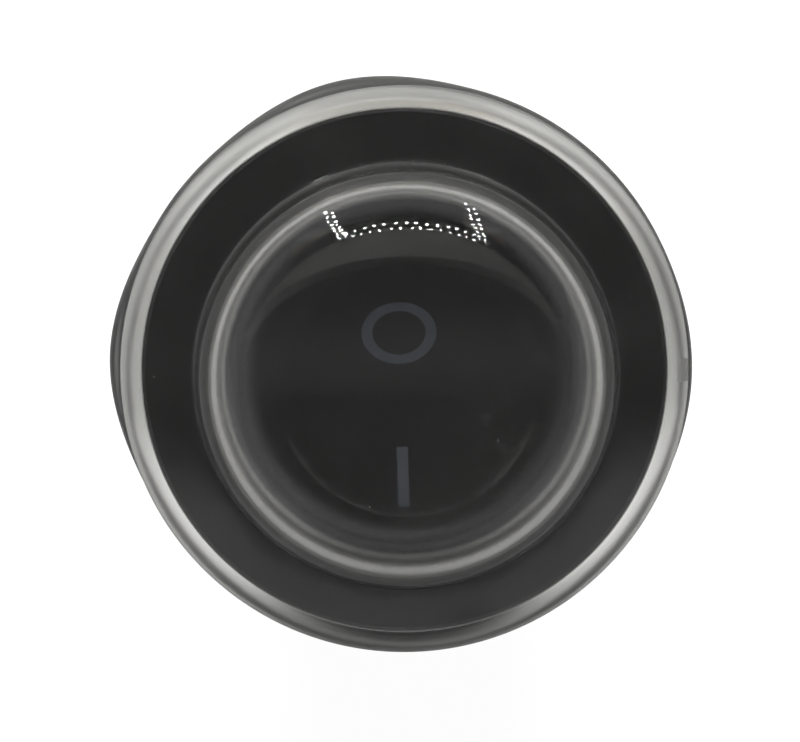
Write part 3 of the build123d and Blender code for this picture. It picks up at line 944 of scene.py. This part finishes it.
# Room: light walls with a dark opening where the camera stands, and one soft lamp
ROOM_TINT = (0.99, 0.985, 1.015, 1.0)
BACKDROP_TINT = (0.9, 0.9, 0.9, 1.0)
OPENING_LEAN = radians(15.0)
OPENING_FADE, OPENING_LIGHT = (0.5, 0.8), (1.0, 0.03)
FRONT_FADE, FRONT_LIGHT = (-1.0, -0.6), (0.15, 0.78)
SIDES_FADE, SIDES_LIGHT = (-0.8, 0.8), (0.84, 0.7)
CEILING_LAMP_AT = (0.0, 0.16, 0.13)
CEILING_LAMP_SIZE = (0.13, 0.1)
CEILING_LAMP_WATTS = 0.34

# Camera: nearly square to the bezel's front face
BEZEL_FRONT = 2.95 * MM
VIEW_FROM_TOP = radians(5.2)
VIEW_FROM_LEFT = radians(0.6)
VIEW_ROLL = radians(-1.8)
VIEW_DISTANCE = 0.22
VIEW_CLIP = (0.01, 20.0)
SENSOR_WIDTH = 36.0
PICTURE_PX = 800
PX_PER_MM = 22.8
AIM_LEFT_PX = 4.5
AIM_DOWN_PX = 1.0


def unseen_by(piece, *rays):
    for ray in rays:
        setattr(piece, f"visible_{ray}", False)


def make_floor():
    work = bmesh.new()
    bmesh.ops.create_grid(work, x_segments=1, y_segments=1, size=FLOOR_HALF)
    for corner in work.verts:
        corner.co.z = FLOOR_Z
    mesh = to_mesh(work, "floor")
    paint, tree, surface, place = new_finish(
        "pale_floor",
        Roughness=0.9,
        Specular_IOR_Level=0.0,
        Emission_Color=(1.0, 1.0, 1.0, 1.0),
    )
    path = add_node(tree, "ShaderNodeLightPath").outputs
    seen = path["Is Camera Ray"]
    # Painted shadow: a dark spot in the floor's colour, for every ray but the camera's
    shade = spread(tree, distance(tree, place, PAINTED_SHADOW_AT), PAINTED_SHADOW_FADE, smooth=True)
    under = blend_colours(tree, shade, PAINTED_SHADOW_GREY, FLOOR_GREY)
    join(tree, blend_colours(tree, seen, under, FLOOR_SEEN_GREY), surface.inputs["Base Color"])
    x, y, _ = split(tree, place)
    out = calc(tree, "SQRT", calc(tree, "MULTIPLY_ADD", x, x, calc(tree, "MULTIPLY", y, y)))
    product, square = calc(tree, "MULTIPLY", x, y), calc(tree, "MULTIPLY", out, out)
    off_axes = calc(tree, "ABSOLUTE", calc(tree, "DIVIDE", product, square))
    between = spread(tree, off_axes, POOL_OFF_AXES, to=(0.0, POOL_GLOW), smooth=True)
    near = spread(tree, out, POOL_FADE, to=(1.0, 0.0))
    pools = calc(tree, "MULTIPLY", between, near)
    through = calc(tree, "MULTIPLY", path["Is Transmission Ray"], pools)
    glow = calc(tree, "MULTIPLY_ADD", seen, FLOOR_SEEN_GLOW, through)
    join(tree, glow, surface.inputs["Emission Strength"])
    mesh.materials.append(paint)
    floor = new_piece("floor", mesh)


def make_reflector():
    work = bmesh.new()
    rows = []
    for step in range(CARD_STEPS + 1):
        turn = radians(180.0 + 180.0 * step / CARD_STEPS)
        across, along = cos(turn), sin(turn)
        spots = [(r * across + CARD_AT[0], r * along + CARD_AT[1], CARD_AT[2]) for r in CARD_RADII]
        rows.append([work.verts.new(spot) for spot in spots])
    for first, second in zip(rows, rows[1:]):
        work.faces.new((first[0], first[1], second[1], second[0]))
    mesh = to_mesh(work, "reflector")
    card, tree, light = new_material("reflector_card", "ShaderNodeEmission")
    place = object_place(tree)
    _, y, _ = split(tree, place)
    ends = spread(tree, y, CARD_END_FADE, to=(0.0, CARD_GLOW), smooth=True)
    inside = spread(tree, distance(tree, place, CARD_AT), CARD_INNER_FADE, smooth=True)
    join(tree, calc(tree, "MULTIPLY", ends, inside), light.inputs["Strength"])
    mesh.materials.append(card)
    reflector = new_piece("reflector", mesh)
    unseen_by(reflector, "camera", "diffuse", "shadow", "transmission")


def make_lamp_dots():
    work = bmesh.new()
    uneven = Random(5)

    def dot(x, z, wide, deep):
        x += uneven.uniform(-LAMP_JITTER_X, LAMP_JITTER_X)
        z += uneven.uniform(-LAMP_JITTER_Z, LAMP_JITTER_Z)
        wide *= uneven.uniform(*LAMP_SIZES)
        deep *= uneven.uniform(*LAMP_SIZES)
        corners = ((-wide, -deep), (wide, -deep), (wide, deep), (-wide, deep))
        work.faces.new([work.verts.new((x + cx, LAMPS_Y, z + cz)) for cx, cz in corners])

    for row in range(2):
        for step in range(ROW_LAMPS):
            x = ROW_START + ROW_PITCH * (step + 0.5 * row)
            dot(x, ROW_LOW + ROWS_APART * row, *ROW_LAMP)
    for foot, head, apart in BARS:
        for row in range(2):
            for step in range(BAR_LAMPS):
                share = (step + 0.5 * row) / BAR_LAMPS
                x = foot + (head - foot) * share + apart * row
                dot(x, BAR_LOW + BAR_RISE * share, *BAR_LAMP)
    mesh = to_mesh(work, "lamp_dots")
    glow, _, _ = new_material("lamp_glow", "ShaderNodeEmission", Strength=LAMPS_GLOW)
    mesh.materials.append(glow)
    lamps = new_piece("lamp_dots", mesh)
    unseen_by(lamps, "camera", "diffuse", "shadow", "transmission")


def make_studio():
    world = bpy.data.worlds.new("studio")
    scene.world = world
    world.use_nodes = True
    tree = world.node_tree
    tree.nodes.clear()
    x, y, z = split(tree, add_node(tree, "ShaderNodeTexCoord").outputs["Generated"])
    upright = calc(tree, "MULTIPLY", z, cos(OPENING_LEAN))
    to_camera = calc(tree, "MULTIPLY_ADD", y, sin(OPENING_LEAN), upright)
    opening = spread(tree, to_camera, OPENING_FADE, to=OPENING_LIGHT, smooth=True)
    front_wall = spread(tree, y, FRONT_FADE, to=FRONT_LIGHT, smooth=True)
    side_walls = spread(tree, x, SIDES_FADE, to=SIDES_LIGHT)
    level = calc(tree, "MULTIPLY", opening, calc(tree, "MULTIPLY", front_wall, side_walls))
    light = add_node(tree, "ShaderNodeBackground")
    set_inputs(light, Color=ROOM_TINT)
    join(tree, level, light.inputs["Strength"])
    backdrop = add_node(tree, "ShaderNodeBackground")
    set_inputs(backdrop, Color=BACKDROP_TINT, Strength=1.0)
    seen = add_node(tree, "ShaderNodeLightPath").outputs["Is Camera Ray"]
    either = add_node(tree, "ShaderNodeMixShader")
    join(tree, seen, either.inputs[0])
    join(tree, light.outputs[0], either.inputs[1])
    join(tree, backdrop.outputs[0], either.inputs[2])
    end = add_node(tree, "ShaderNodeOutputWorld")
    join(tree, either.outputs[0], end.inputs["Surface"])


def make_ceiling_lamp():
    data = bpy.data.lights.new("ceiling_lamp", "AREA")
    data.shape = "RECTANGLE"
    data.size, data.size_y = CEILING_LAMP_SIZE
    data.energy = CEILING_LAMP_WATTS
    lamp = new_piece("ceiling_lamp", data)
    away = Vector(CEILING_LAMP_AT)
    facing = away.to_track_quat("Z", "Y").to_matrix().to_4x4()
    lamp.matrix_world = Matrix.Translation(away) @ facing
    unseen_by(lamp, "glossy", "transmission", "camera")


def make_camera():
    data = bpy.data.cameras.new("camera")
    data.sensor_width = SENSOR_WIDTH
    data.lens = PX_PER_MM / MM * VIEW_DISTANCE / PICTURE_PX * SENSOR_WIDTH
    data.clip_start, data.clip_end = VIEW_CLIP
    camera = new_piece("camera", data)
    back = Vector((-tan(VIEW_FROM_LEFT), tan(VIEW_FROM_TOP), 1.0)).normalized()
    level = Vector((0, 1, 0)).cross(back).normalized()
    turn = Matrix((level, back.cross(level), back)).transposed()
    turn = turn @ Matrix.Rotation(VIEW_ROLL, 3, "Z")
    right, up = turn.col[0], turn.col[1]
    aim = Vector((0, 0, BEZEL_FRONT))
    aim -= right * (AIM_LEFT_PX / PX_PER_MM * MM) + up * (AIM_DOWN_PX / PX_PER_MM * MM)
    camera.matrix_world = Matrix.Translation(aim + back * VIEW_DISTANCE) @ turn.to_4x4()
    scene.camera = camera


make_floor()
make_reflector()
make_lamp_dots()
make_studio()
make_ceiling_lamp()
make_camera()
scene.view_settings.view_transform = "Standard"
